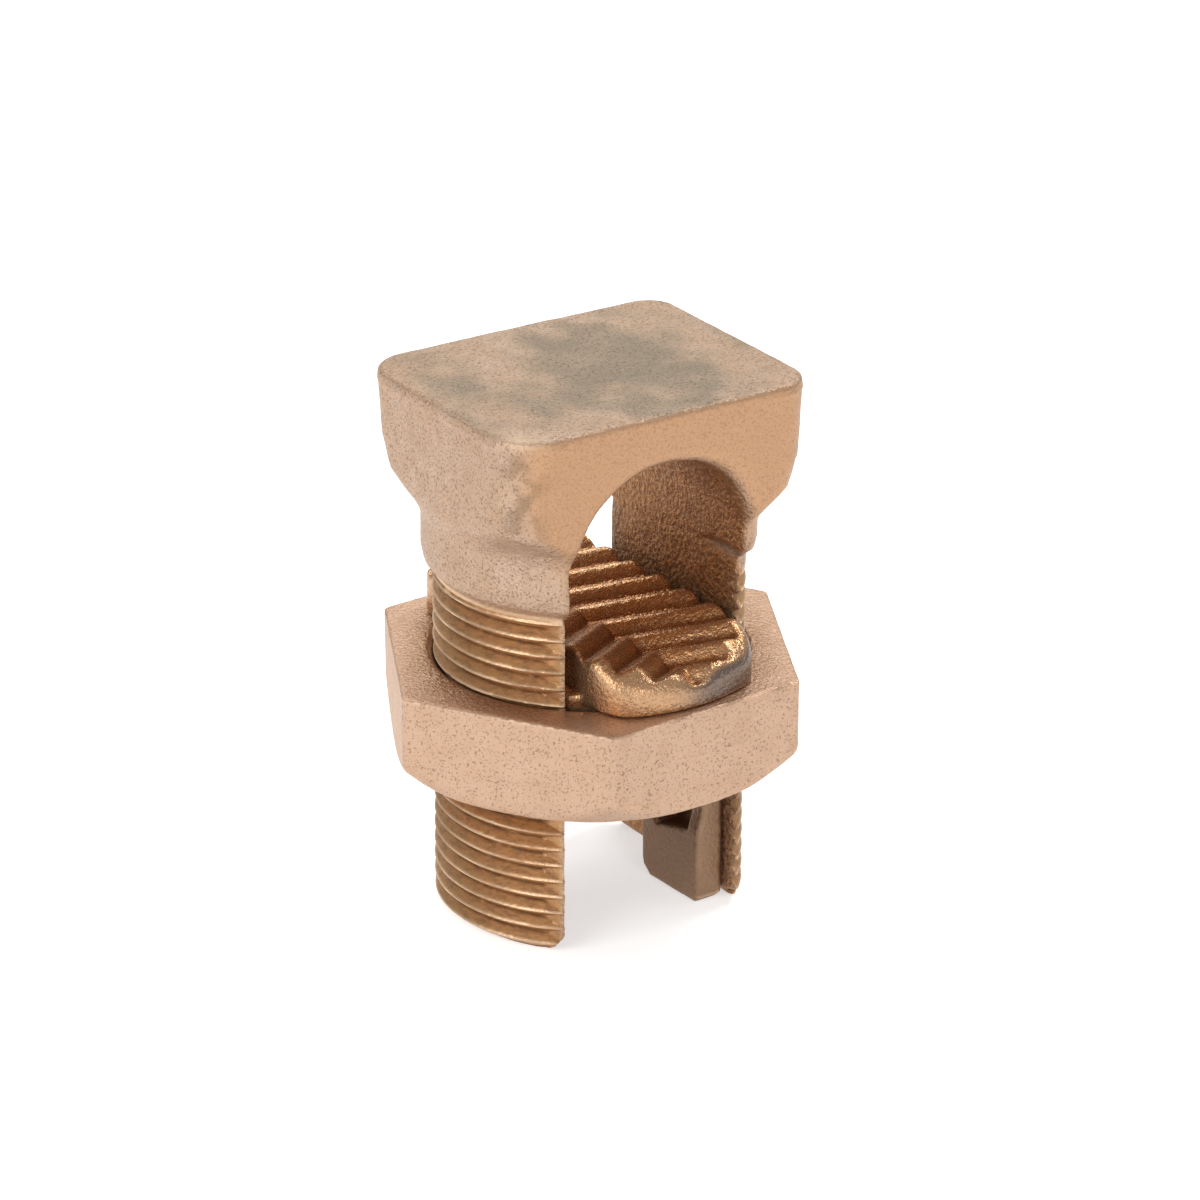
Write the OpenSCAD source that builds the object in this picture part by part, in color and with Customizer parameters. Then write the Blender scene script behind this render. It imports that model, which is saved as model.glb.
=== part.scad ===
// Split bolt connector: a slotted cast bolt, a hexagon nut and a pressure bar that
// rides up on the nut and clamps two stranded conductors against the arch.
// Millimetres, +Z up along the bolt. The slot runs along Y and the origin is on the
// bolt's axis, level with the ends of the legs.

/* [Bolt head] */
// Width of the head, across the slot
head_w = 43; // [40:0.5:50]
// Depth of the head, along the slot
head_d = 34.5; // [34:0.5:37]
// Radius of the head's upright corners
head_corner_r = 6; // [4:0.5:8]
// Height of the head's straight sides
head_side_h = 11; // [8:0.5:16]
// Bevel round the top edge of the head
head_bevel = 0.8; // [0.3:0.1:1.6]
// Metal left between the arch of the slot and the top of the head
crown_t = 6.5; // [5:0.5:9]

/* [Neck, legs and thread] */
// Height of the whole bolt
bolt_h = 68.8; // [66:0.2:76]
// Width of the slot between the legs
slot_w = 25; // [24:0.5:26.5]
// Diameter of the round neck under the head
neck_d = 40.8; // [40:0.2:42]
// Radius of the cove that blends the neck into the head's corners
cove_r = 5; // [3:0.5:6]
// Outside diameter of the thread
thread_d = 38.1; // [37:0.1:39.5]
// Pitch of the thread
thread_pitch = 2.117; // [1.8:0.001:2.5]
// Depth of the thread's grooves
thread_depth = 1.2; // [0.8:0.1:1.4]
// Length of the threaded part, from the ends of the legs up
thread_l = 44.5; // [42:0.5:47]
// Bevel at the ends of the legs
leg_end_bevel = 1.2; // [0.5:0.1:2]

/* [Nut] */
// Width of the nut across its flats
nut_af = 48; // [46:0.5:52]
// Height of the nut
nut_h = 12.5; // [10:0.5:15]
// Height of the nut's top face above the ends of the legs
nut_top = 33; // [30:0.5:36]
// Height of the bevel on the nut's lower corners
nut_bevel_h = 3.4; // [1:0.1:5]
// How far the nut is turned from facing the slot squarely
nut_turn = 3.5; // [0:0.5:60]
// Radial clearance between the nut's bore and the thread
nut_clearance = 0.05; // [0.02:0.01:0.1]

/* [Pressure bar] */
// Width of the bar's pad
pad_w = 22; // [20:0.5:22.5]
// Radius of the pad's rounded ends, from the bolt's axis
pad_end_r = 22.7; // [21:0.1:23]
// Radius where the pad's sides meet its ends
pad_corner_r = 3; // [1:0.5:5]
// Height of the ridges along the pad's middle
pad_valley_h = 3.5; // [3:0.1:5]
// Angle at which the pad's two wings rise from the middle
pad_rise = 16; // [5:1:20]
// Height of the lip at the pad's two ends
pad_lip_h = 3.4; // [2.5:0.1:5]
// Length over which the pad's rim slopes down to the lip at its ends
pad_slope_l = 7; // [4:0.5:10]
// Angle between the ridges and the line across the pad
ridge_angle = 39; // [20:1:50]
// Distance from one ridge to the next
ridge_pitch = 4.2; // [3:0.1:6]
// Depth of the grooves between the ridges
ridge_depth = 1.1; // [0.6:0.1:1.6]
// How far the bar has swung round in the slot
bar_turn = 3; // [0:0.5:3]
// Thickness of each guide tail
tail_t = 3.2; // [2:0.1:3.6]
// Width of each guide tail, along the slot
tail_w = 11.6; // [8:0.1:12.4]
// Gap between a guide tail and the leg beside it, with the bar square in the slot
tail_gap = 1; // [0.9:0.1:1.5]
// Height of the tails' tips above the ends of the legs
tail_tip = 0.3; // [0.2:0.1:6]
// Running gap between the pad and the nut that turns under it
pad_seat = 0.05; // [0.02:0.01:0.1]

/* [Hidden] */
$fn = 96;
cast = "peru";
machined = "goldenrod";
worn = "sienna";
slack = 1;
head_base = bolt_h - head_side_h;
arch_r = slot_w / 2;
arch_z = bolt_h - crown_t - arch_r;
neck_r = neck_d / 2;
neck_step = 1.3;
thread_r = thread_d / 2;
root_r = thread_r - thread_depth;
crest_flat = thread_pitch / 8;
thread_turns = floor((thread_l - leg_end_bevel) / thread_pitch);
thread_start = leg_end_bevel + (thread_l - leg_end_bevel - thread_turns * thread_pitch) / 2;
nut_corner_r = nut_af / 2 / cos(30);
nut_base = nut_top - nut_h;
bore_r = thread_r + nut_clearance;
bore_bevel = 0.7;
pad_top = pad_valley_h + pad_w / 2 * tan(pad_rise) + slack;
tail_out = slot_w / 2 - tail_gap;
tail_in = tail_out - tail_t;
tail_l = nut_top + pad_seat - tail_tip;
tail_bevel = 1.6;
tail_heel = 2.4;
tail_front = 0.6;
pocket_depth = 1.9;

// Points along an arc, from one angle to the other
function arc(cx, cy, r, from, to, steps) =
    [for (i = [0:steps]) let (a = from + (to - from) * i / steps) [cx + r * cos(a), cy + r * sin(a)]];

// A block with four rounded upright corners
module rounded_block(w, d, r, h) {
    linear_extrude(height = h) {
        square([w - 2 * r, d], center = true);
        square([w, d - 2 * r], center = true);
        for (x = [-1, 1], y = [-1, 1])
            translate([x * (w / 2 - r), y * (d / 2 - r)])
                circle(r = r);
    }
}

// A wedge-sided bar, wide at its foot and one bevel narrower on each side at its top
module bevelled_bar(w, l, bevel) {
    rotate([90, 0, 0])
        linear_extrude(height = l, center = true)
            polygon([[-w / 2, 0], [w / 2, 0], [w / 2 - bevel, bevel], [bevel - w / 2, bevel]]);
}

// The layer of a rounded block that its top bevel takes up
module bevelled_layer(w, d, r, bevel) {
    bevelled_bar(w, d - 2 * r, bevel);
    rotate([0, 0, 90])
        bevelled_bar(d, w - 2 * r, bevel);
    for (x = [-1, 1], y = [-1, 1])
        translate([x * (w / 2 - r), y * (d / 2 - r), 0])
            cylinder(r1 = r, r2 = r - bevel, h = bevel);
}

// The turned outline that takes the head's corners down to the round neck
module neck_outline() {
    cove = arc(neck_r + cove_r, head_base - cove_r - 2.6, cove_r, 180, 135, 6);
    rim = cove[len(cove) - 1];
    reach = head_w;
    rotate_extrude()
        polygon(concat(
            [[0, thread_l], [thread_r, thread_l], [neck_r, thread_l + neck_step]],
            cove,
            [[rim[0] + 2.2, rim[1] + 2.2], [rim[0] + 3.3, rim[1] + 5], [reach, rim[1] + 5.2]],
            [[reach, bolt_h + slack], [0, bolt_h + slack]]));
}

// Grooves at the thread's pitch, cut round the legs
module thread_outline() {
    rotate_extrude()
        polygon(concat(
            [[0, 0], [root_r - slack, 0], [thread_r - leg_end_bevel, 0], [thread_r, leg_end_bevel]],
            [for (i = [0:thread_turns - 1])
                let (z = thread_start + i * thread_pitch)
                each [
                    [thread_r, z + crest_flat / 2],
                    [root_r, z + thread_pitch / 2 - crest_flat / 2],
                    [root_r, z + thread_pitch / 2 + crest_flat / 2],
                    [thread_r, z + thread_pitch - crest_flat / 2]
                ]],
            [[thread_r, thread_l + slack], [0, thread_l + slack]]));
}

// The slot that the conductors lie in, open at the ends of the legs
module slot() {
    translate([-slot_w / 2, -head_d, -slack])
        cube([slot_w, 2 * head_d, arch_z + slack]);
    translate([0, 0, arch_z])
        rotate([90, 0, 0])
            cylinder(r = arch_r, h = 2 * head_d, center = true);
}

module bolt() {
    color(cast)
        difference() {
            union() {
                intersection() {
                    union() {
                        translate([0, 0, thread_l - slack])
                            rounded_block(head_w, head_d, head_corner_r,
                                bolt_h - head_bevel - thread_l + slack);
                        translate([0, 0, bolt_h - head_bevel])
                            bevelled_layer(head_w, head_d, head_corner_r, head_bevel);
                    }
                    neck_outline();
                }
                thread_outline();
            }
            slot();
        }
}

module hex_nut() {
    color(machined)
        translate([0, 0, nut_base])
            difference() {
                intersection() {
                    rotate([0, 0, nut_turn])
                        cylinder(r = nut_corner_r, h = nut_h, $fn = 6);
                    rotate_extrude()
                        polygon([[0, 0], [nut_af / 2, 0], [nut_corner_r, nut_bevel_h],
                            [nut_corner_r + slack, nut_bevel_h], [nut_corner_r + slack, nut_h], [0, nut_h]]);
                }
                translate([0, 0, -slack])
                    cylinder(r = bore_r, h = nut_h + 2 * slack);
                for (z = [0, nut_h])
                    translate([0, 0, z])
                        mirror([0, 0, z > 0 ? 1 : 0])
                            translate([0, 0, -0.01])
                                cylinder(r1 = bore_r + bore_bevel, r2 = bore_r, h = bore_bevel);
            }
}

// One quarter of the pad's outline, from its side round to its end
function pad_quarter() =
    let (cx = pad_w / 2 - pad_corner_r,
         cy = sqrt(pow(pad_end_r - pad_corner_r, 2) - pow(cx, 2)),
         meet = atan2(cy, cx))
    concat(arc(cx, cy, pad_corner_r, 0, meet, 4), arc(0, 0, pad_end_r, meet, 90, 4));

module pad_outline() {
    quarter = pad_quarter();
    count = len(quarter);
    half = concat(quarter, [for (i = [count - 2:-1:0]) [-quarter[i][0], quarter[i][1]]]);
    polygon(concat(half, [for (p = half) -p]));
}

// Ridges that run across one wing of the pad and rise with it
module ridged_wing() {
    reach = 2 * pad_end_r;
    count = ceil(reach / ridge_pitch);
    translate([0, 0, pad_valley_h])
        rotate([0, -pad_rise, 0])
            rotate([0, 0, -ridge_angle])
                rotate([90, 0, 90])
                    linear_extrude(height = 2 * reach, center = true)
                        polygon(concat(
                            [[-count * ridge_pitch, -reach]],
                            [for (i = [-count:count - 1])
                                each [
                                    [(i + 0.15) * ridge_pitch, -ridge_depth],
                                    [(i + 0.40) * ridge_pitch, 0],
                                    [(i + 0.60) * ridge_pitch, 0],
                                    [(i + 0.85) * ridge_pitch, -ridge_depth]
                                ]],
                            [[count * ridge_pitch, -reach]]));
}

// The dome over the pad, which slopes down all round to the lip at its two ends
module end_slopes() {
    mid_h = (pad_top + pad_lip_h) / 2;
    fall = (mid_h - pad_lip_h) / (pad_slope_l / 3);
    rotate_extrude()
        polygon([[0, 0], [pad_end_r + slack, 0], [pad_end_r + slack, pad_lip_h - slack * fall],
            [pad_end_r - pad_slope_l / 3, mid_h], [pad_end_r - pad_slope_l, pad_top], [0, pad_top]]);
}

// The ridged pad, which stands on the nut and bears on the conductor
module pad() {
    for (side = [0, 1])
        mirror([side, 0, 0])
            intersection() {
                linear_extrude(height = pad_top)
                    intersection() {
                        pad_outline();
                        translate([0, -pad_end_r])
                            square([pad_w, 2 * pad_end_r]);
                    }
                ridged_wing();
                end_slopes();
            }
}

// A guide tail, which hangs from the pad down through the nut beside one leg
module guide_tail() {
    difference() {
        translate([tail_in, 0, 0])
            rotate([90, 0, 90])
                linear_extrude(height = tail_t)
                    polygon([[-tail_front, slack], [-tail_front - tail_w, slack],
                        [-tail_front - tail_w, tail_bevel - tail_l],
                        [-tail_front - tail_w + tail_bevel, -tail_l],
                        [-tail_front - tail_heel, -tail_l],
                        [-tail_front, tail_heel * 1.2 - tail_l]]);
        translate([tail_in - slack, 0, 0])
            rotate([90, 0, 90])
                linear_extrude(height = pocket_depth + slack)
                    polygon([[-tail_front - 1.6, -nut_h - 1], [-tail_front - tail_w + 2.6, -nut_h - 1],
                        [-tail_front - tail_w + 2.6, 9.8 - tail_l], [-tail_front - 1.6, 4.8 - tail_l]]);
    }
}

module pressure_bar() {
    color(worn)
        translate([0, 0, nut_top + pad_seat])
            rotate([0, 0, bar_turn]) {
                pad();
                for (turn = [0, 180])
                    rotate([0, 0, turn])
                        guide_tail();
            }
}

bolt();
hex_nut();
pressure_bar();
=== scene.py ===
"""Split bolt connector: the dressed model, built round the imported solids.

A slotted cast bolt, a hexagon nut and a ridged pressure bar. Each one is described as a
signed distance in millimetres, skinned into a mesh with crisp edges, and given a bronze
finish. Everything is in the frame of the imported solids, in metres.
"""

import math

import bpy
import numpy as np
from mathutils import Matrix, Vector


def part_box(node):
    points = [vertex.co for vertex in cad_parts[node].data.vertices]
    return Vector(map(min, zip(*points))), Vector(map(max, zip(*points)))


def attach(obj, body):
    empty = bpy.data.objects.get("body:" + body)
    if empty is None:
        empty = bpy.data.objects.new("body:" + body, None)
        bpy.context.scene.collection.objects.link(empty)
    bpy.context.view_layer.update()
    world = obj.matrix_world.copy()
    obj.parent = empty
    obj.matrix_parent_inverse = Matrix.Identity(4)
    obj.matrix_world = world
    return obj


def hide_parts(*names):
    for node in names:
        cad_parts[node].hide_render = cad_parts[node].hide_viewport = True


bl_info = {
    "name": "Split Bolt Connector",
    "version": (1, 0, 0),
    "blender": (4, 5, 0),
    "location": "View3D > Sidebar > Connector",
    "description": "Builds a cast split bolt connector with its nut and pressure bar",
    "category": "Add Mesh",
}

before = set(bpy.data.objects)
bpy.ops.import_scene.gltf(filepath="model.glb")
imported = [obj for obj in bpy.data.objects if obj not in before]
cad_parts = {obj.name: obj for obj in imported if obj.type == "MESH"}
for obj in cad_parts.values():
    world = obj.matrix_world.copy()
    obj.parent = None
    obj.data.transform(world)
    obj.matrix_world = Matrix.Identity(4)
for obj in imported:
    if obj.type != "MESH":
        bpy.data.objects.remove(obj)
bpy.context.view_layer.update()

MM = 1000.0
DIAGONAL = 0.7071
BEYOND = 60.0
bolt_low, bolt_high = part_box("bolt")
nut_low, nut_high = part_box("hex_nut")
bar_low, bar_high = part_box("pressure_bar")


# Sizes and finishes -------------------------------------------------------------------

def length(name, description, default):
    return bpy.props.FloatProperty(name=name, description=description, default=default,
                                   min=0.0, unit="LENGTH", precision=5)


def angle(name, description, degrees):
    return bpy.props.FloatProperty(name=name, description=description,
                                   default=math.radians(degrees), subtype="ANGLE")


def colour(name, description, default):
    return bpy.props.FloatVectorProperty(name=name, description=description, default=default,
                                         size=3, min=0.0, max=1.0, subtype="COLOR")


def share(name, description, default):
    return bpy.props.FloatProperty(name=name, description=description, default=default,
                                   min=0.0, max=1.0, subtype="FACTOR")


class ConnectorSizes(bpy.types.PropertyGroup):
    """Sizes of the bolt, the nut and the pressure bar"""

    head_w: length("Head width", "Width of the head, across the slot", bolt_high.x - bolt_low.x)
    head_d: length("Head depth", "Depth of the head, along the slot", bolt_high.y - bolt_low.y)
    head_corner: length("Head corner", "Radius of the head's upright corners", 0.006)
    bolt_h: length("Bolt height", "Height of the whole bolt", bolt_high.z)
    slot_w: length("Slot width", "Width of the slot between the legs", 0.025)
    crown: length("Crown", "Metal between the arch and the top of the head", 0.0065)
    neck_d: length("Neck diameter", "Diameter of the neck under the head", 0.0408)
    thread_d: length("Thread diameter", "Outside diameter of the thread", 0.0381)
    thread_pitch: length("Thread pitch", "Distance from one thread to the next", 0.002117)
    thread_depth: length("Thread depth", "Depth of the thread's grooves", 0.0012)
    thread_l: length("Thread length", "Length of the threaded part of the legs", 0.0445)
    nut_af: length("Nut width", "Width of the nut across its flats", 0.048)
    nut_bevel: length("Nut bevel", "Height of the bevel on the nut's lower corners", 0.0034)
    nut_turn: angle("Nut turn", "How far the nut is turned from square", 3.5)
    pad_w: length("Pad width", "Width of the pressure bar's pad", 0.022)
    pad_end: length("Pad end", "Radius of the pad's rounded ends", 0.0227)
    pad_valley: length("Pad valley", "Height of the ridges along the pad's middle", 0.0037)
    pad_rise: angle("Pad rise", "Angle at which the pad's wings rise", 16.0)
    pad_lip: length("Pad lip", "Height of the lip at the pad's ends", 0.0034)
    ridge_angle: angle("Ridge angle", "Angle of the ridges to the line across the pad", 39.0)
    ridge_pitch: length("Ridge pitch", "Distance from one ridge to the next", 0.0042)
    ridge_depth: length("Ridge depth", "Depth of the grooves between the ridges", 0.0011)
    bar_turn: angle("Bar turn", "How far the bar has swung round in the slot", 3.0)
    tail_t: length("Tail thickness", "Thickness of each guide tail", 0.0032)
    tail_w: length("Tail width", "Width of each guide tail, along the slot", 0.0116)
    grid: length("Mesh grid", "Width of the grid cells that the casting is skinned on", 0.00045)


class ConnectorFinish(bpy.types.PropertyGroup):
    """Colours and roughness of the bronze"""

    cast: colour("Cast skin", "Sand-cast skin of the bolt", (0.545, 0.375, 0.262))
    warm: colour("Smooth face", "Smoother faces over the slot's mouths", (0.590, 0.350, 0.200))
    patina: colour("Patina", "Grey film on top of the head", (0.300, 0.240, 0.170))
    # Slot colour: the slot's brown skin, darkened deeper in from the mouths as painted shade.
    slot_skin_and_shade: colour("Slot skin", "Brown skin inside the slot", (0.590, 0.290, 0.115))
    thread: colour("Machined thread", "Cut flanks of the thread", (0.520, 0.290, 0.132))
    # Dark colour for dirt in speckles and pits, also used as painted shade in thread roots and
    # concave creases.
    grime_and_shade: colour("Grime", "Dirt that settles in pits and grooves", (0.085, 0.045, 0.022))
    nut: colour("Nut skin", "Fine sand-cast skin of the nut", (0.640, 0.430, 0.300))
    bar: colour("Bar skin", "Burnished skin of the pressure bar", (0.700, 0.350, 0.140))
    # Bright colour on convex edges and thread crests: worn bright metal, and painted highlight.
    glint: colour("Worn edge", "Bright metal where edges have worn", (0.860, 0.640, 0.440))
    cast_roughness: share("Cast roughness", "Roughness of the cast skin", 0.52)
    thread_roughness: share("Thread roughness", "Roughness of the cut thread", 0.42)
    bar_roughness: share("Bar roughness", "Roughness of the burnished bar", 0.20)


# Shapes as signed distances, in millimetres --------------------------------------------

def blend_max(a, b, width):
    """Larger of two distances, with the edge between them rounded over a width."""
    overlap = np.maximum(width - np.abs(a - b), 0.0) / width
    return np.maximum(a, b) + overlap * overlap * width * 0.25


def blend_min(a, b, width):
    """Smaller of two distances, with the edge between them filled over a width."""
    return -blend_max(-a, -b, width)


def fade(value, start, end):
    """0 before start, 1 after end, and smooth between them."""
    t = np.clip((value - start) / (end - start), 0.0, 1.0)
    return t * t * (3.0 - 2.0 * t)


def rounded_rectangle(x, y, half_w, half_d, radius):
    """Distance to an upright block with round corners."""
    qx = np.abs(x) - half_w + radius
    qy = np.abs(y) - half_d + radius
    outside = np.hypot(np.maximum(qx, 0.0), np.maximum(qy, 0.0))
    return outside + np.minimum(np.maximum(qx, qy), 0.0) - radius


def outline(points, u, v):
    """Distance to a closed outline, less than zero inside it."""
    nearest = np.full(np.shape(u), 1e9)
    inside = np.zeros(np.shape(u), bool)
    for (au, av), (bu, bv) in zip(points, points[1:] + points[:1]):
        eu, ev = bu - au, bv - av
        wu, wv = u - au, v - av
        t = np.clip((wu * eu + wv * ev) / (eu * eu + ev * ev), 0.0, 1.0)
        nearest = np.minimum(nearest, (wu - eu * t) ** 2 + (wv - ev * t) ** 2)
        if av != bv:
            crosses = (v < av) != (v < bv)
            inside ^= crosses & (u < au + wv * (eu / ev))
    return np.where(inside, -1.0, 1.0) * np.sqrt(nearest)


def turned(x, y, turn):
    """The point as seen from a piece that has been turned about Z."""
    c, s = math.cos(turn), math.sin(turn)
    return x * c + y * s, y * c - x * s


def arc(cx, cy, radius, start, end, steps):
    """Points along an arc, from and to an angle in degrees."""
    turns = [math.radians(start + (end - start) * i / steps) for i in range(steps + 1)]
    return [(cx + radius * math.cos(t), cy + radius * math.sin(t)) for t in turns]


def screw(s, x, y, z, play=0.0, top=None):
    """The threaded rod. Play makes it thicker, for the thread inside the nut."""
    pitch, radius = s.thread_pitch * MM, s.thread_d / 2 * MM
    depth = s.thread_depth * MM
    if top is not None:
        worn = fade(np.abs(x), s.slot_w / 2 * MM, s.slot_w / 2 * MM + 1.6)
        worn = np.where(x * y > 0.0, 0.12 + 0.88 * worn, 1.0)
        depth = depth * fade(top - z, 0.2, 2.2) * worn
    crest = 0.09
    r = np.hypot(x, y)
    turns = z / pitch - np.arctan2(y, x) / math.tau
    across = np.abs(turns - np.round(turns)) * pitch
    slope = s.thread_depth * MM / (pitch / 2 - 1.3 * crest)
    flank = (r - radius + (across - crest) * slope) / math.hypot(1.0, slope)
    rod = blend_max(flank, r - radius, 0.12)
    return np.minimum(rod, r - radius + depth) - play


def slot_void(s, x, z):
    """The arched slot that runs right through the bolt."""
    half = s.slot_w / 2 * MM
    arch_z = (s.bolt_h - s.crown) * MM - half
    above = z - arch_z
    return np.where(above > 0.0, np.hypot(x, above), np.abs(x)) - half


def bolt_solid(s, x, y, z):
    """The casting: head, cove, neck and threaded legs, with the arched slot cut through."""
    draft_w, draft_d, cove_r = 0.035, 0.02, 5.0
    seam_drop, seam_w, seam_out = 1.25, 0.25, 0.10
    height, thread_top = s.bolt_h * MM, s.thread_l * MM
    neck_r, thread_r = s.neck_d / 2 * MM, s.thread_d / 2 * MM
    r = np.hypot(x, y)
    drop = np.clip(height - z, 0.0, 16.0)
    tight = np.where(y > 0.0, np.where(x > 0.0, 0.70, 0.96), np.where(x > 0.0, 0.86, 1.0))
    deeper = np.where(y > 0.0, 0.40 - 0.035 * np.minimum(drop, 11.0), 0.0)
    block = rounded_rectangle(x, y, s.head_w / 2 * MM - draft_w * drop,
                              s.head_d / 2 * MM - draft_d * drop + deeper,
                              s.head_corner * MM * tight)
    seam = np.exp(-((z - height + seam_drop) / seam_w) ** 2)
    block = block - seam_out * seam * fade(np.abs(x), 12.0, 16.0)
    block = blend_max(block, z - height, 0.9)
    foot = height - 18.6
    cove = arc(neck_r + cove_r, foot, cove_r, 180, 135, 6)
    rim_r, rim_z = cove[-1]
    profile = [(-BEYOND, thread_top), (thread_r, thread_top), (neck_r - 0.25, thread_top + 1.2),
               (neck_r, thread_top + 2.6)] + cove
    profile += [(rim_r + 2.2, rim_z + 2.2), (rim_r + 3.3, rim_z + 5.0),
                (BEYOND, rim_z + 5.2), (BEYOND, height + 9.0), (-BEYOND, height + 9.0)]
    aside = 0.84 * x - 0.55 * y
    lean = 0.028 * aside * fade(z, 48.0, 52.0)
    step = 1.7 * fade(aside, 6.0, 16.0)
    short = step * fade(-z, -50.0, -47.0)
    head = blend_max(block, outline(profile, r, z + lean - short), 1.2)
    legs = blend_max(screw(s, x, y, z, top=thread_top), z - thread_top - 0.6 - step, 0.3)
    legs = blend_max(legs, (r - thread_r + 0.5 - z) * DIAGONAL, 0.5)
    legs = blend_max(legs, -z, 0.4)
    body = blend_min(head, legs, 0.3)
    soft = 0.45 + 1.15 * fade(z, 42.0, 50.0) + 1.4 * fade(-z, -2.6, -0.6)
    soft = soft + 1.1 * fade(x, 2.0, 9.0) * fade(-y, 5.0, 10.0) * fade(z, 40.0, 45.0)
    return blend_max(body, -slot_void(s, x, z), soft)


def nut_solid(s, x, y, z):
    """The hexagon, coned off below, with a threaded bore."""
    top, base = nut_high.z * MM, nut_low.z * MM - 0.2
    half, bevel = s.nut_af / 2 * MM, s.nut_bevel * MM
    r = np.hypot(x, y)
    u, v = turned(x, y, s.nut_turn)
    sides = None
    for k in range(3):
        t = math.radians(30 + 60 * k)
        side = np.abs(u * math.cos(t) + v * math.sin(t)) - half
        sides = side if sides is None else blend_max(sides, side, 0.6)
    body = blend_max(sides, z - top, 0.4)
    spread = half / math.cos(math.radians(30)) - half
    cone = (r - half - (z - base) * spread / bevel) * bevel / math.hypot(bevel, spread)
    body = blend_max(body, cone, 0.8)
    body = blend_max(body, base - z, 0.5)
    bore = screw(s, x, y, z, play=0.14)
    mouth = s.thread_d / 2 * MM + 0.8
    for face in (z - base, top - z):
        bore = np.minimum(bore, (r - mouth + face) * DIAGONAL)
    return blend_max(body, -bore, 0.15)


def pad_height(s, x, y):
    """Height of the ridged wings over the pad's foot."""
    across = np.sqrt(x * x + 0.16) - 0.2
    q = np.abs(x) * math.sin(s.ridge_angle) + y * math.cos(s.ridge_angle)
    wave = 0.5 - 0.5 * np.cos(math.tau * q / (s.ridge_pitch * MM))
    ridge = s.ridge_depth * MM * (1.0 - wave ** 0.9)
    return s.pad_valley * MM + across * math.tan(s.pad_rise) - ridge


def bar_solid(s, x, y, z):
    """The pad on its skirt, and two tails. The skirt fills the top of the nut's bore, a dark
    blocker standing in for the shade down it; its sides stay square to the slot.
    """
    back_lift, steep_fall, gentle_fall = 2.2, 0.91, 0.455
    square_x = x
    x, y = turned(x, y, s.bar_turn)
    z = z - (nut_high.z * MM + 0.05)
    r = np.hypot(x, y)
    half, end, lip = s.pad_w / 2 * MM, s.pad_end * MM, s.pad_lip * MM
    plan = blend_max(np.abs(x) - half, r - end, np.where(y > 0.0, 1.8, 3.4))
    wings = (z - pad_height(s, x, y)) * 0.80
    lip = lip + np.where(y > 0.0, back_lift, 0.0)
    steep = (z - lip - (end - r) * steep_fall) * 0.74
    gentle = (z - lip - 2.13 - (end - 2.33 - r) * gentle_fall) * 0.91
    pad = blend_max(wings, blend_max(steep, gentle, 1.0), 0.5)
    pad = blend_max(pad, plan, 0.9)
    pad = blend_max(pad, -z, 0.5)
    # Skirt in the top of the bore: a dark blocker put where the bore shows only shade.
    bore_shade_blocker = blend_max(np.abs(r - 16.0) - 1.6, np.abs(square_x) - half - 1.0, 0.6)
    pad = blend_min(pad, blend_max(bore_shade_blocker, np.abs(z + 3.2) - 4.2, 0.6), 0.5)
    outer = half + 0.5
    tail_l = nut_high.z * MM
    near, far = -0.9, -0.9 - s.tail_w * MM
    edge = [(near + 0.8, 1.0), (far, 1.0), (far, 0.9 - tail_l), (far + 0.9, 0.1 - tail_l),
            (near - 1.7, 0.1 - tail_l), (near - 0.2, 1.3 - tail_l), (near, 2.2 - tail_l)]
    pocket = [(near - 0.9, -11.0), (far + 2.4, -11.0), (far + 2.4, 9.6 - tail_l),
              (near - 3.4, 8.1 - tail_l), (near - 0.9, 10.6 - tail_l)]
    for side in (1, -1):
        u, v = x * side, y * side
        half_t = s.tail_t / 2 * MM + 0.4 * fade(-z, 20.0, 24.0)
        plate = blend_max(outline(edge, v, z), np.abs(u - outer + half_t) - half_t, 0.8)
        hole = blend_max(outline(pocket, v, z), u - outer + 0.9, 0.6)
        pad = blend_min(pad, blend_max(plate, -hole, 0.7), 0.5)
    return pad


# Skinning -------------------------------------------------------------------------------

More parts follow.
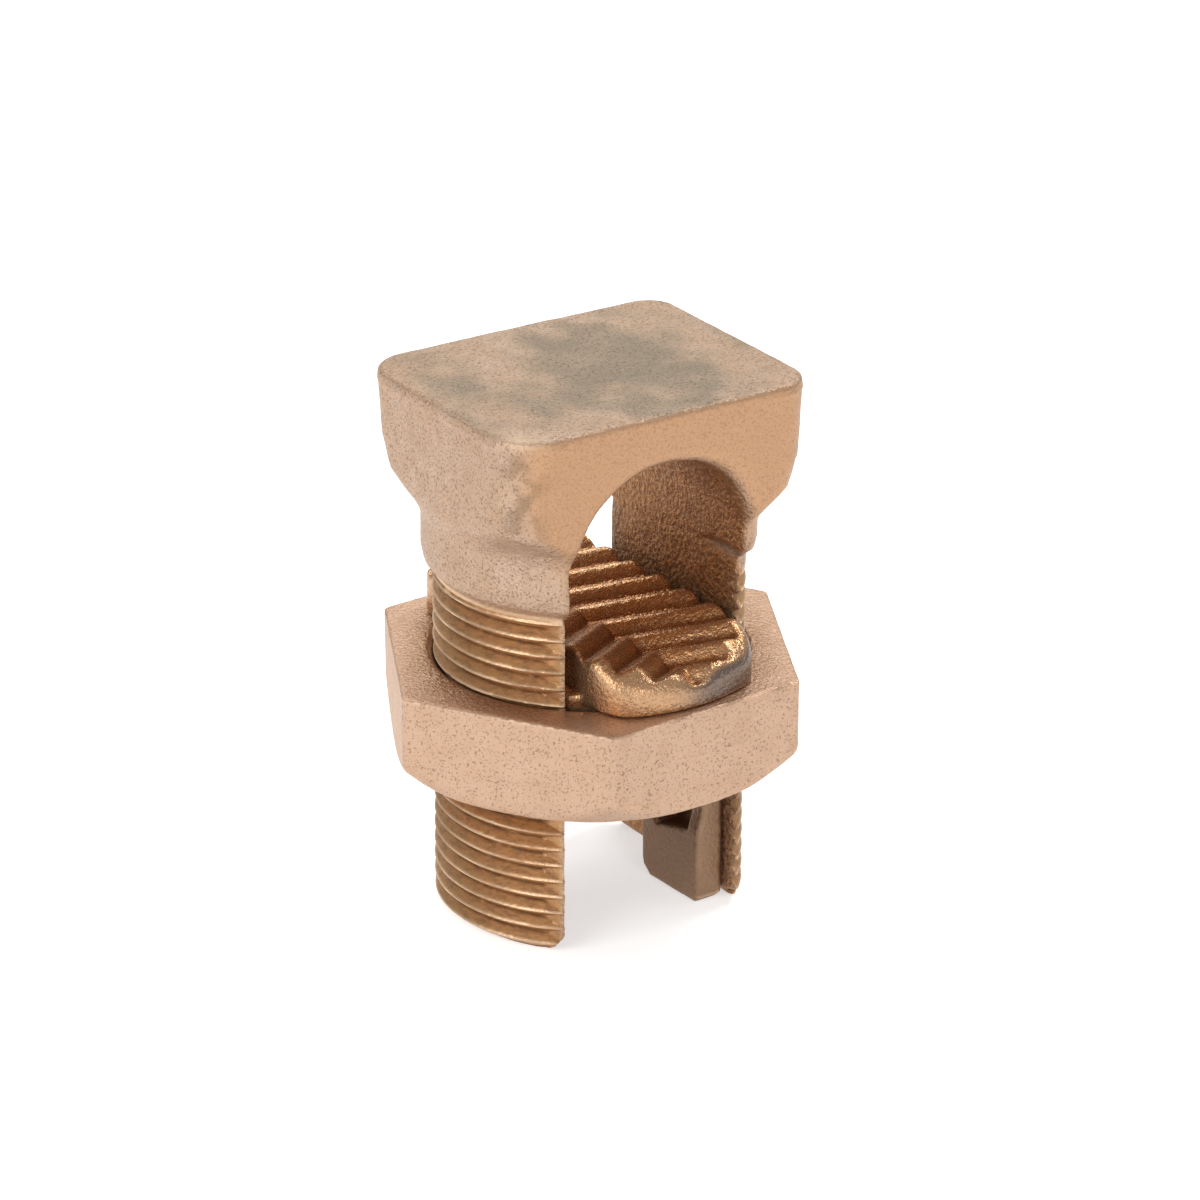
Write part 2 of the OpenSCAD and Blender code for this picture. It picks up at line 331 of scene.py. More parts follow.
def skin(solid, lines, pull=0.06):
    """Points and quads of a solid's surface, on a grid of x, y and z lines.

    Each grid cell that the surface crosses gets one point, where the surface planes
    that cross its edges meet, so that edges stay crisp. Pull holds the point near the
    middle of the crossings where those planes are almost parallel.
    """
    value = solid(*np.meshgrid(*lines, indexing="ij"))
    inside = value < 0.0
    cells = np.array(value.shape) - 1
    where, normals, owners, faces = [], [], [], []
    for axis in range(3):
        low_part, high_part = [slice(None)] * 3, [slice(None)] * 3
        low_part[axis], high_part[axis] = slice(None, -1), slice(1, None)
        low = np.argwhere(inside[tuple(low_part)] != inside[tuple(high_part)])
        high = low.copy()
        high[:, axis] += 1
        a = np.stack([lines[k][low[:, k]] for k in range(3)], 1)
        b = np.stack([lines[k][high[:, k]] for k in range(3)], 1)
        va, vb = value[tuple(low.T)], value[tuple(high.T)]
        starts_inside = va < 0.0
        for _ in range(4):
            t = np.clip(va / (va - vb), 0.05, 0.95)[:, None]
            mid = a + (b - a) * t
            vm = solid(*mid.T)
            same = (vm < 0.0) == (va < 0.0)
            a, va = np.where(same[:, None], mid, a), np.where(same, vm, va)
            b, vb = np.where(same[:, None], b, mid), np.where(same, vb, vm)
        point = a + (b - a) * (va / (va - vb))[:, None]
        where.append(point)
        normals.append(facing(solid, point))
        side, depth = (axis + 1) % 3, (axis + 2) % 3
        ring = []
        for step_side, step_depth in ((-1, -1), (0, -1), (0, 0), (-1, 0)):
            cell = low.copy()
            cell[:, side] += step_side
            cell[:, depth] += step_depth
            ring.append(np.ravel_multi_index(cell.T, cells))
        ring = np.stack(ring, 1)
        owners.append(ring)
        faces.append(np.where(starts_inside[:, None], ring, ring[:, ::-1]))
    where, normals = np.concatenate(where), np.concatenate(normals)
    owners, faces = np.concatenate(owners), np.concatenate(faces)
    used, slot_of = np.unique(owners, return_inverse=True)
    slot_of = slot_of.reshape(owners.shape)
    count = len(used)

    def gather(weights):
        return sum(np.bincount(slot_of[:, k], weights, count) for k in range(4))

    total = gather(np.ones(len(where)))
    mean = np.stack([gather(where[:, k]) / total for k in range(3)], 1)
    reach = (where * normals).sum(1)
    matrix = np.empty((count, 3, 3))
    target = np.empty((count, 3))
    for i in range(3):
        target[:, i] = gather(normals[:, i] * reach)
        for j in range(i, 3):
            matrix[:, i, j] = matrix[:, j, i] = gather(normals[:, i] * normals[:, j])
    target -= np.einsum("nij,nj->ni", matrix, mean)
    matrix += np.eye(3) * pull
    points = mean + np.linalg.solve(matrix, target[:, :, None])[:, :, 0]
    corner = np.stack(np.unravel_index(used, cells), 1)
    for k in range(3):
        points[:, k] = np.clip(points[:, k], lines[k][corner[:, k]], lines[k][corner[:, k] + 1])
    return points, np.searchsorted(used, faces)


def facing(solid, point, step=0.02):
    """Unit normals of a solid's surface at points on it."""
    return probe(solid, point, step)[0]


def probe(solid, point, step):
    """Unit normals at points on a solid's surface, and how far it bulges out (or in, below 0)."""
    slope = np.empty_like(point)
    bulge = np.zeros(len(point))
    for k in range(3):
        shift = np.zeros(3)
        shift[k] = step
        ahead, behind = solid(*(point + shift).T), solid(*(point - shift).T)
        slope[:, k] = ahead - behind
        bulge += (ahead + behind) / (2.0 * step)
    bulge -= 3.0 * solid(*point.T) / step
    return slope / np.maximum(np.linalg.norm(slope, axis=1), 1e-9)[:, None], bulge


def grain(point, scale, seed):
    """Smooth noise from -1 to 1, the same every time."""
    q = point / scale
    base = np.floor(q)
    f = q - base
    f = f * f * (3.0 - 2.0 * f)
    base = base.astype(np.int64)
    total = np.zeros(len(point))
    for corner in range(8):
        step = np.array([corner & 1, corner >> 1 & 1, corner >> 2 & 1])
        i = base + step
        n = (i[:, 0] * 374761393 + i[:, 1] * 668265263 + i[:, 2] * 1274126177
             + seed * 974634777) & 0xFFFFFFFF
        n = ((n ^ (n >> 13)) * 1103515245) & 0xFFFFFFFF
        n = ((n ^ (n >> 15)) * 2246822519) & 0xFFFFFFFF
        weight = np.prod(np.where(step == 1, f, 1.0 - f), axis=1)
        total += weight * ((n ^ (n >> 16)) & 0xFFFF) / 32767.5
    return total - 1.0


def lines_between(low, high, step):
    """Evenly spaced grid lines, no further apart than a step."""
    count = max(2, int(math.ceil((high - low) / step)) + 1)
    return np.linspace(low, high, count)


def piece(name, points, quads, masks, material):
    """Makes a mesh object from points in millimetres, with its masks as attributes."""
    mesh = bpy.data.meshes.new(name)
    mesh.from_pydata((points / MM).tolist(), [], quads.tolist())
    for mask, values in masks.items():
        layer = mesh.attributes.new(mask, "FLOAT", "POINT")
        layer.data.foreach_set("value", np.clip(values, 0.0, 1.0).astype(np.float32))
    mesh.shade_smooth()
    mesh.set_sharp_from_angle(angle=math.radians(38))
    mesh.materials.append(material)
    made = bpy.data.objects.new(name, mesh)
    bpy.context.scene.collection.objects.link(made)
    return made


# Materials ------------------------------------------------------------------------------

METALLIC = 0.85

class Nodes:
    """Shorthand for building one material's nodes."""

    def __init__(self, name):
        self.material = bpy.data.materials.new(name)
        self.material.use_nodes = True
        self.tree = self.material.node_tree
        self.shader = self.tree.nodes["Principled BSDF"]
        coordinates = self.tree.nodes.new("ShaderNodeTexCoord")
        self.place = coordinates.outputs["Object"]

    def link(self, source, target):
        if isinstance(source, (int, float, tuple)):
            target.default_value = (*source, 1.0) if isinstance(source, tuple) else source
        else:
            self.tree.links.new(source, target)

    def mask(self, name):
        node = self.tree.nodes.new("ShaderNodeAttribute")
        node.attribute_name = name
        return node.outputs["Fac"]

    def noise(self, size_mm, detail=2.0, roughness=0.5, stretch=None):
        node = self.tree.nodes.new("ShaderNodeTexNoise")
        node.inputs["Scale"].default_value = MM / size_mm
        node.inputs["Detail"].default_value = detail
        node.inputs["Roughness"].default_value = roughness
        place = self.place
        if stretch:
            mapping = self.tree.nodes.new("ShaderNodeMapping")
            mapping.inputs["Scale"].default_value = stretch
            self.tree.links.new(place, mapping.inputs["Vector"])
            place = mapping.outputs["Vector"]
        self.tree.links.new(place, node.inputs["Vector"])
        return node.outputs["Fac"]

    def pits(self, size_mm):
        node = self.tree.nodes.new("ShaderNodeTexVoronoi")
        node.inputs["Scale"].default_value = MM / size_mm
        self.tree.links.new(self.place, node.inputs["Vector"])
        return node.outputs["Distance"]

    def ramp(self, source, low, high, bottom=0.0, top=1.0):
        node = self.tree.nodes.new("ShaderNodeMapRange")
        node.interpolation_type = "SMOOTHSTEP"
        for socket, value in (("From Min", low), ("From Max", high), ("To Min", bottom),
                              ("To Max", top)):
            node.inputs[socket].default_value = value
        self.link(source, node.inputs["Value"])
        return node.outputs["Result"]

    def combine(self, operation, a, b):
        node = self.tree.nodes.new("ShaderNodeMath")
        node.operation = operation
        self.link(a, node.inputs[0])
        self.link(b, node.inputs[1])
        return node.outputs[0]

    def mix(self, factor, a, b):
        node = self.tree.nodes.new("ShaderNodeMix")
        node.data_type = "RGBA"
        self.link(factor, node.inputs["Factor"])
        self.link(a, node.inputs[6])
        self.link(b, node.inputs[7])
        return node.outputs[2]

    def mix_value(self, factor, a, b):
        node = self.tree.nodes.new("ShaderNodeMix")
        self.link(factor, node.inputs["Factor"])
        self.link(a, node.inputs[2])
        self.link(b, node.inputs[3])
        return node.outputs[0]

    def bump(self, height, strength, distance_mm, under=None):
        node = self.tree.nodes.new("ShaderNodeBump")
        self.link(strength, node.inputs["Strength"])
        node.inputs["Distance"].default_value = distance_mm / MM
        self.link(height, node.inputs["Height"])
        if under is not None:
            self.tree.links.new(under, node.inputs["Normal"])
        return node.outputs["Normal"]

    def finish(self, colour, roughness, normal):
        self.link(colour, self.shader.inputs["Base Color"])
        self.link(roughness, self.shader.inputs["Roughness"])
        self.tree.links.new(normal, self.shader.inputs["Normal"])
        self.shader.inputs["Metallic"].default_value = METALLIC
        return self.material


def rgb(value):
    return tuple(value)


def bolt_bronze(f):
    """Sand-cast bronze with a cut thread and a grey film on the head; the slot's brown skin
    darkened by painted shade, painted shade in the thread roots and creases, and painted
    highlights on worn crests and edges.
    """
    pale, tan, pit = (0.60, 0.43, 0.315), (0.56, 0.36, 0.225), (0.230, 0.100, 0.038)
    dull_cut, stain = (0.36, 0.205, 0.105), (0.22, 0.135, 0.075)
    n = Nodes("bolt_bronze")
    speckle = n.noise(0.30, 2.0, 0.6)
    mottle = n.noise(2.6, 4.0, 0.62)
    broad = n.noise(11.0, 2.0, 0.5)
    pits = n.pits(0.60)
    thread, slot_skin_and_shade = n.mask("thread"), n.mask("slot_skin_and_shade")
    smooth, patina, groove = n.mask("smooth"), n.mask("patina"), n.mask("groove")
    skin_colour = n.mix(n.ramp(mottle, 0.35, 0.68), rgb(f.cast), pale)
    skin_colour = n.mix(n.ramp(broad, 0.4, 0.65, 0.0, 0.35), skin_colour, tan)
    skin_colour = n.mix(smooth, skin_colour, rgb(f.warm))
    skin_colour = n.mix(patina, skin_colour, rgb(f.patina))
    # Painted shade: the slot turns to its darker brown away from the mouths, over its own brown
    # skin.
    skin_colour = n.mix(slot_skin_and_shade, skin_colour, rgb(f.slot_skin_and_shade))
    sand = n.ramp(n.noise(0.60, 2.5, 0.6), 0.42, 0.60, 0.6, 0.0)
    skin_colour = n.mix(n.combine("MULTIPLY", sand, n.mask("sand")), skin_colour, pit)
    dark = n.ramp(speckle, 0.53, 0.66, 0.0, 0.85)
    dark = n.combine("MULTIPLY", dark, n.mix_value(smooth, 1.0, 0.35))
    pit_dark = n.ramp(pits, 0.02, 0.16, 0.75, 0.0)
    dark = n.combine("MAXIMUM", dark, n.combine("MULTIPLY", pit_dark, n.ramp(broad, 0.45, 0.6)))
    skin_colour = n.mix(dark, skin_colour, n.mix(0.55, skin_colour, rgb(f.grime_and_shade)))
    streak = n.noise(1.6, 4.0, 0.65, stretch=(1.0, 1.0, 3.5))
    cut = n.mix(n.ramp(streak, 0.42, 0.68), rgb(f.thread), dull_cut)
    # Painted shade: the thread's roots darken towards the dark grime colour.
    cut = n.mix(n.ramp(groove, 0.70, 1.0, 0.0, 0.5), cut, rgb(f.grime_and_shade))
    # Thread crests brighten: painted highlight, and worn bright metal.
    cut = n.mix(n.ramp(groove, 0.0, 0.20, 0.6, 0.0), cut, rgb(f.glint))
    colour = n.mix(thread, skin_colour, cut)
    colour = n.mix(n.combine("MULTIPLY", n.mask("stain"), 0.55), colour, stain)
    # Painted shade: concave creases darken towards the dark grime colour.
    colour = n.mix(n.combine("MULTIPLY", n.mask("crease_shade"), 0.45), colour, rgb(f.grime_and_shade))
    # Convex edges brighten: worn bright metal, and painted highlight.
    colour = n.mix(n.combine("MULTIPLY", n.mask("edge"), 0.35), colour, rgb(f.glint))
    rough = n.mix_value(thread, f.cast_roughness, f.thread_roughness)
    rough = n.mix_value(n.ramp(speckle, 0.4, 0.7), rough, 0.62)
    rough = n.mix_value(slot_skin_and_shade, rough, 0.42)
    strength = n.mix_value(thread, n.mix_value(smooth, 0.7, 0.25), 0.16)
    strength = n.mix_value(n.mask("sand"), strength, 1.0)
    coarse = n.bump(n.noise(0.60, 2.5, 0.6), strength, 0.38)
    fine = n.bump(speckle, n.combine("MULTIPLY", strength, 0.6), 0.10, under=coarse)
    return n.finish(colour, rough, fine)


def nut_bronze(f):
    """Fine sand-cast bronze, speckled with dark pits, with painted shade browning the top near
    the bore and darkening the bore.
    """
    # The second and third colours are painted shade: browner on the top near the bore, and dark
    # inside the bore.
    tan, top_shade, inner = (0.60, 0.395, 0.270), (0.46, 0.265, 0.145), (0.20, 0.105, 0.055)
    n = Nodes("nut_bronze")
    speckle = n.noise(0.30, 2.0, 0.6)
    mottle = n.noise(3.2, 4.0, 0.6)
    pits = n.pits(0.55)
    top, bore = n.mask("top"), n.mask("bore")
    colour = n.mix(n.ramp(mottle, 0.35, 0.68), rgb(f.nut), tan)
    # Painted shade: the top browns, a little all over and most towards the bore, under the pad
    # and the legs.
    colour = n.mix(n.combine("MULTIPLY", top, n.ramp(mottle, 0.3, 0.6, 0.55, 0.85)), colour,
                   top_shade)
    # Painted shade: the inside of the bore is dark.
    colour = n.mix(bore, colour, inner)
    dark = n.ramp(speckle, 0.55, 0.67, 0.0, 0.95)
    pit_dark = n.combine("MULTIPLY", n.ramp(pits, 0.05, 0.2, 0.9, 0.0), n.ramp(mottle, 0.45, 0.6))
    dark = n.combine("MAXIMUM", dark, pit_dark)
    colour = n.mix(dark, colour, n.mix(0.55, colour, rgb(f.grime_and_shade)))
    # Convex edges brighten: worn bright metal, and painted highlight.
    colour = n.mix(n.combine("MULTIPLY", n.mask("edge"), 0.3), colour, rgb(f.glint))
    rough = n.mix_value(top, f.cast_roughness, 0.36)
    strength = n.mix_value(top, 0.45, 1.0)
    coarse = n.bump(n.noise(0.55, 2.5, 0.6), strength, 0.30)
    fine = n.bump(speckle, n.combine("MULTIPLY", strength, 0.6), 0.10, under=coarse)
    return n.finish(colour, rough, fine)


def bar_bronze(f):
    """Burnished bronze: painted highlights on the ridge tops and on worn edges; painted shade
    between the ridges, in the creases and below the nut's top.
    """
    pale, groove_shade, crest = (0.60, 0.33, 0.16), (0.29, 0.115, 0.042), (0.62, 0.42, 0.27)
    rim, right_side_grey_colour, below_nut_shade = (0.56, 0.33, 0.18), (0.215, 0.155, 0.125), (0.30, 0.185, 0.115)
    wear_and_highlight_colour = (0.86, 0.60, 0.40)
    n = Nodes("bar_bronze")
    speckle = n.noise(0.30, 2.0, 0.6)
    mottle = n.noise(2.4, 4.0, 0.62)
    groove, lip, tail = n.mask("groove"), n.mask("lip"), n.mask("tail")
    colour = n.mix(n.ramp(mottle, 0.35, 0.68), rgb(f.bar), pale)
    # Painted shade: the grooves between the ridges darken.
    colour = n.mix(n.ramp(groove, 0.35, 0.95, 0.0, 0.7), colour, groove_shade)
    # Painted highlight: the ridge tops lighten.
    colour = n.mix(n.ramp(groove, 0.0, 0.35, 0.35, 0.0), colour, crest)
    colour = n.mix(lip, colour, rim)
    # The pad's upright faces turn greyer and darker towards +x.
    colour = n.mix(n.mask("right_side_grey"), colour, right_side_grey_colour)
    # Painted shade: the bar turns a darker brown below the nut's top, inside the bore and under
    # the nut.
    colour = n.mix(tail, colour, below_nut_shade)
    dark = n.ramp(speckle, 0.50, 0.68, 0.0, 0.35)
    colour = n.mix(dark, colour, n.mix(0.6, colour, rgb(f.grime_and_shade)))
    # Painted shade: concave creases darken towards the dark grime colour.
    colour = n.mix(n.combine("MULTIPLY", n.mask("crease_shade"), 0.5), colour, rgb(f.grime_and_shade))
    # Convex edges brighten: worn bright metal, and painted highlight.
    colour = n.mix(n.combine("MULTIPLY", n.mask("edge"), 0.55), colour, wear_and_highlight_colour)
    rough = n.mix_value(n.ramp(speckle, 0.35, 0.7), f.bar_roughness, 0.34)
    rough = n.mix_value(tail, rough, 0.48)
    coarse = n.bump(n.noise(0.55, 2.5, 0.6), 1.0, 0.15)
    fine = n.bump(speckle, 0.5, 0.10, under=coarse)
    return n.finish(colour, rough, fine)


# Pieces ---------------------------------------------------------------------------------

def roughened(points, normals, amount, seed):
    """Lumps and dimples of the sand mould, as a move along the normals."""
    lumps = 0.6 * grain(points, 2.3, seed) + 0.4 * grain(points, 1.05, seed + 1)
    return points + normals * (amount * lumps)[:, None]


def grid_lines(low, high, step, margin=1.2):
    return [lines_between(low[k] * MM - margin, high[k] * MM + margin, step[k])
            for k in range(3)]


def build_bolt(s, f):
    step, thread_step, head_step, crown_step = s.grid * MM, 0.27, 0.54, 0.34
    thread_top = s.thread_l * MM + 0.8
    top = s.bolt_h * MM
    z_lines = np.concatenate([lines_between(-0.9, thread_top, thread_step)[:-1],
                              lines_between(thread_top, top - 2.2, head_step)[:-1],
                              lines_between(top - 2.2, top + 0.8, crown_step)])
    lines = [lines_between(bolt_low.x * MM - 1, bolt_high.x * MM + 1, step),
             lines_between(bolt_low.y * MM - 2.2, bolt_high.y * MM + 2.2, step), z_lines]

    def solid(x, y, z):
        return bolt_solid(s, x, y, z)

    points, quads = skin(solid, lines)
    normals, bulge = probe(solid, points, 0.3)
    x, y, z = points.T
    r = np.hypot(x, y)
    in_slot = fade(-np.abs(slot_void(s, x, z)), -0.45, -0.15)
    below = fade(-z, -s.thread_l * MM - 0.6, -s.thread_l * MM + 0.4)
    cut = below * (1.0 - in_slot) * fade(r, 16.0, 16.6)
    groove = (s.thread_d / 2 * MM - r) / (s.thread_depth * MM)
    face = fade(np.abs(normals[:, 1]), 0.55, 1.0) * fade(z, 46.0, 54.0) * (1.0 - in_slot)
    on_top = fade(normals[:, 2], 0.75, 0.98) * fade(z, top - 1.5, top - 0.3)
    film = fade(0.9 * grain(points, 8.0, 11) + 0.5 * grain(points, 3.0, 12)
                - np.hypot((x - 1.0) / 18.0, (y + 3.0) / 13.0), -1.6, -0.1)
    # Painted shade in the slot: pale near the mouths, darkening to the slot colour deeper in.
    mouth = np.where(z > s.thread_l * MM, s.head_d / 2 * MM, 14.3) - np.abs(y)
    shade = in_slot * (0.25 + 0.75 * fade(mouth, 0.3, 4.0))
    # Convex edges, for worn bright metal and painted highlight.
    wear_and_highlight = fade(bulge + 0.12 * grain(points, 1.3, 21), 0.15, 0.75) * (1.0 - 0.85 * cut)
    wear_and_highlight *= 0.25 + 0.75 * fade(grain(points, 5.5, 22), -0.1, 0.5)
    # A patch at the head's front-left corner: a stain on the side below, and a painted highlight
    # along the top edge.
    corner = np.exp(-((x + s.head_w / 2 * MM - 2.5) / 2.6) ** 2
                    - ((y + s.head_d / 2 * MM - 2.0) / 2.6) ** 2)
    stain = corner * fade(z, 52.0, 57.0) * fade(-z, -top + 0.8, -top + 3.0)
    stain *= fade(grain(points, 1.7, 23) + 0.5 * grain(points, 0.9, 24), -0.35, 0.35)
    points = roughened(points, normals, 0.055 * (1.0 - cut) * (1.0 - 0.5 * face)
                       + 0.05 * in_slot + 0.012, 3)
    masks = {"thread": cut, "groove": np.clip(groove, 0, 1), "slot_skin_and_shade": shade, "sand": in_slot,
             "smooth": face, "patina": on_top * (0.25 + 0.75 * film),
             # Edges, with a painted highlight along the front-left top corner.
             "edge": np.maximum(wear_and_highlight, corner * fade(z, top - 1.3, top - 0.4)),
             # Concave creases, for painted shade.
             "stain": stain, "crease_shade": fade(-bulge, 0.10, 0.7) * (1.0 - cut)}
    made = piece("bolt_casting", points, quads, masks, bolt_bronze(f))
    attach(made, "bolt")
    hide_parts("bolt")


def build_nut(s, f):
    def solid(x, y, z):
        return nut_solid(s, x, y, z)

    points, quads = skin(solid, grid_lines(nut_low, nut_high, (0.46, 0.46, 0.26)))
    normals, bulge = probe(solid, points, 0.3)
    x, y, z = points.T
    r = np.hypot(x, y)
    top = nut_high.z * MM
    inner = s.thread_d / 2 * MM
    near_bore = fade(-r, -inner - 6.5, -inner - 0.5)
    on_top = fade(normals[:, 2], 0.7, 0.95) * fade(z, top - 0.8, top - 0.2)
    # Convex edges away from the bore, for worn bright metal and painted highlight.
    wear_and_highlight = fade(bulge + 0.12 * grain(points, 1.3, 22), 0.12, 0.7)
    wear_and_highlight *= fade(r, inner + 2.0, inner + 3.0)
    points = roughened(points, normals, 0.045 * fade(r, inner + 0.2, inner + 1.0), 7)
    # top is painted shade near the bore, and the top's smoother finish; bore is painted shade
    # inside the bore.
    masks = {"top": on_top * (0.15 + 0.85 * near_bore), "bore": fade(-r, -inner - 0.3, -inner),
             "edge": wear_and_highlight * (0.3 + 0.7 * fade(grain(points, 5.0, 25), -0.3, 0.4))}
    made = piece("hexagon_nut", points, quads, masks, nut_bronze(f))
    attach(made, "hex_nut")
    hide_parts("hex_nut")


def build_bar(s, f):
    def solid(x, y, z):
        return bar_solid(s, x, y, z)

    points, quads = skin(solid, grid_lines(bar_low, bar_high, (0.3, 0.3, 0.3)))
    normals, bulge = probe(solid, points, 0.3)
    x, y = turned(points[:, 0], points[:, 1], s.bar_turn)
    z = points[:, 2] - nut_high.z * MM
    r = np.hypot(x, y)
    q = np.abs(x) * math.sin(s.ridge_angle) + y * math.cos(s.ridge_angle)
    trough = 0.5 + 0.5 * np.cos(math.tau * q / (s.ridge_pitch * MM))
    up = fade(normals[:, 2], 0.45, 0.8)
    rim = fade(r, s.pad_end * MM - 3.0, s.pad_end * MM - 1.0)
    side = (1.0 - up) * fade(z, 0.0, 0.5)
    points = roughened(points, normals, 0.04, 5)
    # Greyer, darker on the pad's upright faces towards +x.
    right_side_grey = side * fade(z, -0.2, 0.3) * fade(x + 2.5 * grain(points, 4.0, 27), -4.0, 3.0)
    # groove is 1 in the troughs and 0 on the ridge tops of the wings; the material paints shade
    # in the troughs and a highlight on the tops.
    masks = {"groove": trough * up * (1.0 - rim) + 0.30 * (1.0 - up * (1.0 - rim)),
             "lip": np.maximum(side, rim * up) * fade(z, -0.2, 0.3),
             "right_side_grey": right_side_grey,
             # Below the nut's top, for painted shade.
             "tail": fade(-z, 0.0, 1.0),
             # Convex edges, for worn bright metal and painted highlight.
             "edge": fade(bulge + 0.1 * grain(points, 1.1, 26), 0.18, 0.75),
             # Concave creases, for painted shade.
             "crease_shade": fade(-bulge, 0.08, 0.6)}
    made = piece("ridged_pressure_bar", points, quads, masks, bar_bronze(f))
    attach(made, "pressure_bar")
    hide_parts("pressure_bar")


# Stage ----------------------------------------------------------------------------------

def floor_material():
    """A white floor that keeps the shadows and shows white to the camera and in metal."""
    material = bpy.data.materials.new("white_floor")
    material.use_nodes = True
    tree = material.node_tree
    shader = tree.nodes["Principled BSDF"]
    shader.inputs["Base Color"].default_value = (0.80, 0.80, 0.80, 1.0)
    shader.inputs["Roughness"].default_value = 0.9
    shader.inputs["Specular IOR Level"].default_value = 0.1
    path = tree.nodes.new("ShaderNodeLightPath")
    seen = tree.nodes.new("ShaderNodeMath")
    seen.operation = "MAXIMUM"
    tree.links.new(path.outputs["Is Camera Ray"], seen.inputs[0])
    tree.links.new(path.outputs["Is Glossy Ray"], seen.inputs[1])
    lift = tree.nodes.new("ShaderNodeMath")
    lift.operation = "MULTIPLY"
    lift.inputs[1].default_value = 0.55
    tree.links.new(seen.outputs[0], lift.inputs[0])
    shader.inputs["Emission Color"].default_value = (1.0, 1.0, 1.0, 1.0)
    tree.links.new(lift.outputs[0], shader.inputs["Emission Strength"])
    return material


def softbox(name, azimuth, elevation, distance, width, height, strength, aim):
    """A rectangular lamp that faces the connector. Azimuth 0 is in front, over -Y."""
    a, e = math.radians(azimuth), math.radians(elevation)
    away = Vector((math.sin(a) * math.cos(e), -math.cos(a) * math.cos(e), math.sin(e)))
    lamp = bpy.data.lights.new(name, "AREA")
    lamp.shape = "RECTANGLE"
    lamp.size, lamp.size_y = width, height
    lamp.energy = strength
    made = bpy.data.objects.new(name, lamp)
    made.location = aim + away * distance
    made.rotation_euler = away.to_track_quat("Z", "Y").to_euler()
    bpy.context.scene.collection.objects.link(made)


LAMPS = (  # name, azimuth and elevation in degrees, distance, width and height, watts
    ("key", -78, 30, 0.9, 0.6, 0.6, 3.6),
    ("front", -10, 22, 1.0, 0.3, 0.6, 1.5),
    ("back", 155, 44, 0.9, 0.8, 0.25, 2.6),
    ("glint", 98, 50, 0.8, 0.16, 0.16, 1.5),
)
SKY_STRENGTH = 0.47
CAMERA_TURNS = (-33.21, 23.517, 0.202)  # azimuth, elevation and roll in degrees
CAMERA_PLACE = (-0.31339, -0.48120, 0.28873)
CAMERA_LENS, CAMERA_SENSOR = 154.231, 36.0


def build_stage():
    mesh = bpy.data.meshes.new("floor")
    reach = 6.0
    mesh.from_pydata([(-reach, -reach, 0), (reach, -reach, 0), (reach, reach, 0),
                      (-reach, reach, 0)], [], [(0, 1, 2, 3)])
    mesh.materials.append(floor_material())
    floor = bpy.data.objects.new("floor", mesh)
    bpy.context.scene.collection.objects.link(floor)

    world = bpy.data.worlds.new("studio")
    world.use_nodes = True
    world.node_tree.nodes["Background"].inputs["Color"].default_value = (1.0, 1.0, 1.0, 1.0)
    world.node_tree.nodes["Background"].inputs["Strength"].default_value = SKY_STRENGTH
    scene = bpy.context.scene
    scene.world = world
    scene.view_settings.view_transform = "Standard"

    middle = Vector((0.0, 0.0, 0.035))
    for lamp in LAMPS:
        softbox(*lamp, middle)

    azimuth, elevation, roll = (math.radians(turn) for turn in CAMERA_TURNS)
    back = Vector((math.sin(azimuth) * math.cos(elevation),
                   -math.cos(azimuth) * math.cos(elevation), math.sin(elevation)))
    right = Vector((math.cos(azimuth), math.sin(azimuth), 0.0))
    up = back.cross(right)
    right, up = (right * math.cos(roll) + up * math.sin(roll),
                 up * math.cos(roll) - right * math.sin(roll))
    camera = bpy.data.cameras.new("camera")
    camera.lens, camera.sensor_width = CAMERA_LENS, CAMERA_SENSOR
    camera.clip_start, camera.clip_end = 0.01, 50.0
    seat = bpy.data.objects.new("camera", camera)
    turn = Matrix((right, up, back)).transposed().to_4x4()
    seat.matrix_world = Matrix.Translation(Vector(CAMERA_PLACE)) @ turn
    scene.collection.objects.link(seat)
    scene.camera = seat


# Add-on ---------------------------------------------------------------------------------

class CONNECTOR_OT_bolt(bpy.types.Operator):
    """Build the slotted bolt"""

    bl_idname = "connector.bolt"
    bl_label = "Bolt"

    def execute(self, context):
        build_bolt(context.scene.connector_sizes, context.scene.connector_finish)
        return {"FINISHED"}


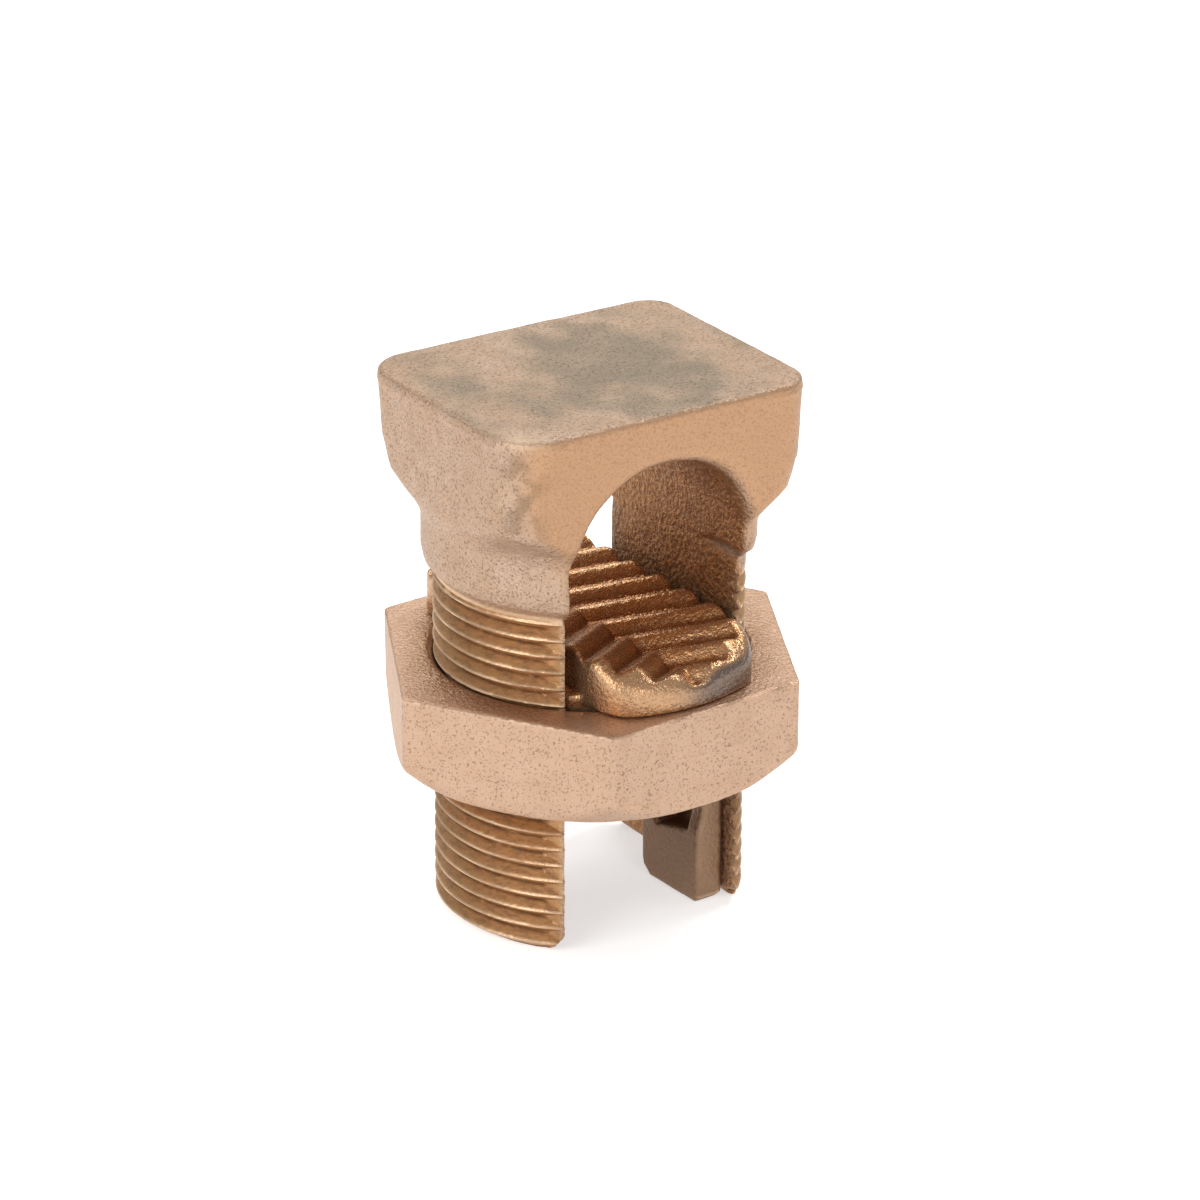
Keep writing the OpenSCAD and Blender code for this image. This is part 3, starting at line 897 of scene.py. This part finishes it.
class CONNECTOR_OT_nut(bpy.types.Operator):
    """Build the hexagon nut"""

    bl_idname = "connector.nut"
    bl_label = "Hexagon nut"

    def execute(self, context):
        build_nut(context.scene.connector_sizes, context.scene.connector_finish)
        return {"FINISHED"}


class CONNECTOR_OT_pressure_bar(bpy.types.Operator):
    """Build the ridged pressure bar"""

    bl_idname = "connector.pressure_bar"
    bl_label = "Pressure bar"

    def execute(self, context):
        build_bar(context.scene.connector_sizes, context.scene.connector_finish)
        return {"FINISHED"}


class CONNECTOR_OT_stage(bpy.types.Operator):
    """Set up the floor, the lamps and the camera"""

    bl_idname = "connector.stage"
    bl_label = "Stage"

    def execute(self, context):
        build_stage()
        return {"FINISHED"}


class CONNECTOR_PT_panel(bpy.types.Panel):
    """Sizes, finishes and build buttons of the connector"""

    bl_idname = "CONNECTOR_PT_panel"
    bl_label = "Split Bolt Connector"
    bl_space_type = "VIEW_3D"
    bl_region_type = "UI"
    bl_category = "Connector"

    def draw(self, context):
        for group in (context.scene.connector_sizes, context.scene.connector_finish):
            box = self.layout.box()
            for name in group.bl_rna.properties.keys():
                if name not in ("rna_type", "name"):
                    box.prop(group, name)
        for operator in OPERATORS:
            self.layout.operator(operator.bl_idname)


OPERATORS = (CONNECTOR_OT_bolt, CONNECTOR_OT_nut, CONNECTOR_OT_pressure_bar, CONNECTOR_OT_stage)
CLASSES = (ConnectorSizes, ConnectorFinish) + OPERATORS + (CONNECTOR_PT_panel,)


def register():
    for item in CLASSES:
        bpy.utils.register_class(item)
    bpy.types.Scene.connector_sizes = bpy.props.PointerProperty(type=ConnectorSizes)
    bpy.types.Scene.connector_finish = bpy.props.PointerProperty(type=ConnectorFinish)


def unregister():
    del bpy.types.Scene.connector_finish
    del bpy.types.Scene.connector_sizes
    for item in reversed(CLASSES):
        bpy.utils.unregister_class(item)


def main():
    register()
    bpy.ops.connector.stage()
    bpy.ops.connector.bolt()
    bpy.ops.connector.nut()
    bpy.ops.connector.pressure_bar()


if __name__ == "__main__":
    main()
